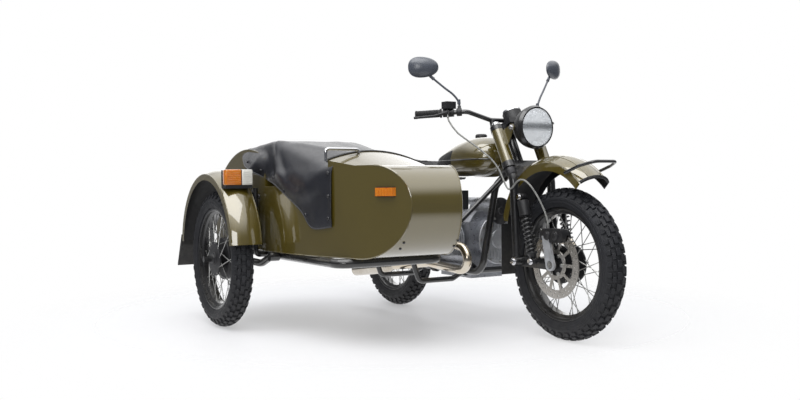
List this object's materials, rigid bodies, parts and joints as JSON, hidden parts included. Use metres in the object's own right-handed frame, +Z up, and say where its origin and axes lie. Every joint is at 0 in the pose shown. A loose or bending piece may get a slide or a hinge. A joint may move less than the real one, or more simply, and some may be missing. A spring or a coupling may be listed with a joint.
{
  "type": "sidecar motorcycle",
  "caption": "Olive-green flat-twin motorcycle with a leading-link fork and a covered sidecar on its right side; steering, wheels and trunk lid move.",
  "frame": {"origin": "on the ground, in the middle of the overall length and width", "axes": "+X forward, +Y to the rider's left, +Z up"},
  "size_m": [2.28, 1.71, 1.3419],
  "materials": {
    "olive_paint": "semi-gloss",
    "black_paint": "satin",
    "cast_aluminium": "cast, satin",
    "chrome": "polished",
    "brushed_steel": "ground",
    "black_plastic": "matte",
    "black_rubber": "matte",
    "tyre": "matte",
    "seat_vinyl": "grained",
    "cover_cloth": "coated cloth",
    "clear_glass": "clear",
    "red_lens": "gloss",
    "amber_lens": "gloss"
  },
  "bodies": {
    "chassis": {"frame": "black_paint", "engine_block": "cast_aluminium", "gearbox": "cast_aluminium", "cylinder_barrels": "cast_aluminium", "cylinder_heads": "cast_aluminium", "carburettors": "cast_aluminium", "air_filter": "black_paint", "exhaust_pipes": "chrome", "mufflers": "chrome", "fuel_tank": "olive_paint", "bench_seat": "seat_vinyl", "rear_fender": "olive_paint", "tail_lamp": "red_lens", "plate_bracket": "black_paint", "swingarm": "black_paint", "final_drive": "cast_aluminium", "rear_axle": "chrome", "rear_shocks": "black_paint", "footpegs": "black_paint", "sidecar_frame": "black_paint", "sidecar_arm": "black_paint", "sidecar_shock": "black_paint", "sidecar_body": "olive_paint", "sidecar_cover": "cover_cloth", "grab_rail": "chrome", "sidecar_fender": "olive_paint", "fender_lamp": "amber_lens", "mud_flap": "black_rubber", "marker_lamp": "amber_lens", "cowl_trim": "black_plastic"},
    "steering": {"fork": "black_paint", "fork_covers": "olive_paint", "leading_links": "black_paint", "front_shocks": "black_paint", "front_axle": "chrome", "front_caliper": "cast_aluminium", "front_fender": "olive_paint", "fender_hoop": "black_paint", "front_mud_flap": "black_rubber", "headlight_bucket": "olive_paint", "headlight_rim": "black_paint", "headlight_reflector": "chrome", "headlight_lens": "clear_glass", "instrument": "black_plastic", "handlebar": "black_paint", "grips": "black_rubber", "brake_control": "black_plastic", "clutch_control": "black_plastic", "mirrors": "black_plastic", "brake_hose": "black_rubber"},
    "front_wheel": {"front_tyre": "tyre", "front_wheel": "black_paint", "front_disc": "brushed_steel"},
    "rear_wheel": {"rear_tyre": "tyre", "rear_wheel": "black_paint"},
    "sidecar_wheel": {"sidecar_tyre": "tyre", "sidecar_wheel": "black_paint"},
    "trunk_lid": {"trunk_lid": "olive_paint"}
  },
  "joints": [
    {"name": "steering_turn", "type": "hinge", "parent": "chassis", "child": "steering", "pos_m": [0.44, 0.386, 0.85], "axis": [-0.454, 0, 0.891], "range_deg": [-35, 35]},
    {"name": "front_wheel_spin", "type": "hinge", "parent": "steering", "child": "front_wheel", "pos_m": [0.8, 0.386, 0.34], "axis": [0, 1, 0], "continuous": true},
    {"name": "rear_wheel_spin", "type": "hinge", "parent": "chassis", "child": "rear_wheel", "pos_m": [-0.67, 0.386, 0.34], "axis": [0, 1, 0], "continuous": true},
    {"name": "sidecar_wheel_spin", "type": "hinge", "parent": "chassis", "child": "sidecar_wheel", "pos_m": [-0.47, -0.76, 0.34], "axis": [0, 1, 0], "continuous": true},
    {"name": "trunk_lid_hinge", "type": "hinge", "parent": "chassis", "child": "trunk_lid", "pos_m": [-0.58582, -0.3305, 0.88385], "axis": [0, 1, 0], "range_deg": [0, 75]}
  ]
}
